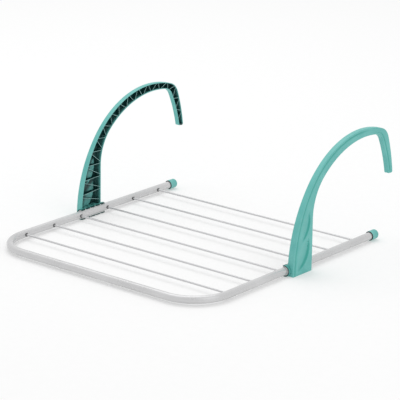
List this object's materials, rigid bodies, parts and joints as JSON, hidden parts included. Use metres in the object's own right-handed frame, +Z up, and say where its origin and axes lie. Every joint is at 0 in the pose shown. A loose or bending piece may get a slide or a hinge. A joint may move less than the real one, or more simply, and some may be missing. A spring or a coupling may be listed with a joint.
{
  "type": "hang-over drying rack",
  "caption": "Drying rack with a U-shaped tube frame, straight rods and two hooked arms that slide along the side tubes and fold flat, to hang over a rail.",
  "frame": {"origin": "on the surface that the rack stands on, under the middle of its bounding box: midway between the side tubes and midway between the front bar and the backs of the hooks", "axes": "+X to the right seen from the front bar, +Y from the front bar towards the caps and the wall, +Z up along the upright arms"},
  "size_m": [0.5588, 0.5734, 0.2401],
  "materials": {
    "frame_metal": "satin pale silver enamel on round steel tube",
    "rod_metal": "satin pale grey enamel on steel rod",
    "bush_plastic": "matt dark moulded plastic",
    "cap_plastic": "satin teal moulded plastic",
    "arm_plastic": "satin teal moulded plastic",
    "liner_rubber": "matt pale grey rubber"
  },
  "bodies": {
    "frame": {"frame_tube": "frame_metal", "rod_1": "rod_metal", "rod_2": "rod_metal", "rod_3": "rod_metal", "rod_4": "rod_metal", "rod_5": "rod_metal", "rod_6": "rod_metal", "rod_1_left_bush": "bush_plastic", "rod_1_right_bush": "bush_plastic", "rod_2_left_bush": "bush_plastic", "rod_2_right_bush": "bush_plastic", "rod_3_left_bush": "bush_plastic", "rod_3_right_bush": "bush_plastic", "rod_4_left_bush": "bush_plastic", "rod_4_right_bush": "bush_plastic", "rod_5_left_bush": "bush_plastic", "rod_5_right_bush": "bush_plastic", "rod_6_left_bush": "bush_plastic", "rod_6_right_bush": "bush_plastic", "left_end_cap": "cap_plastic", "right_end_cap": "cap_plastic"},
    "left_clip": {"left_clip_liner": "liner_rubber"},
    "left_arm": {"left_arm": "arm_plastic"},
    "right_clip": {"right_clip_liner": "liner_rubber"},
    "right_arm": {"right_arm": "arm_plastic"}
  },
  "joints": [
    {"name": "left_slide", "type": "slide", "parent": "frame", "child": "left_clip", "axis": [0, 1, 0], "range_m": [-0.156, 0.156]},
    {"name": "left_fold", "type": "hinge", "parent": "left_clip", "child": "left_arm", "pos_m": [-0.2625, 0, 0.011], "axis": [0, 1, 0], "range_deg": [0, 90]},
    {"name": "right_slide", "type": "slide", "parent": "frame", "child": "right_clip", "axis": [0, 1, 0], "range_m": [-0.156, 0.156]},
    {"name": "right_fold", "type": "hinge", "parent": "right_clip", "child": "right_arm", "pos_m": [0.2625, 0, 0.011], "axis": [0, -1, 0], "range_deg": [0, 90]}
  ]
}
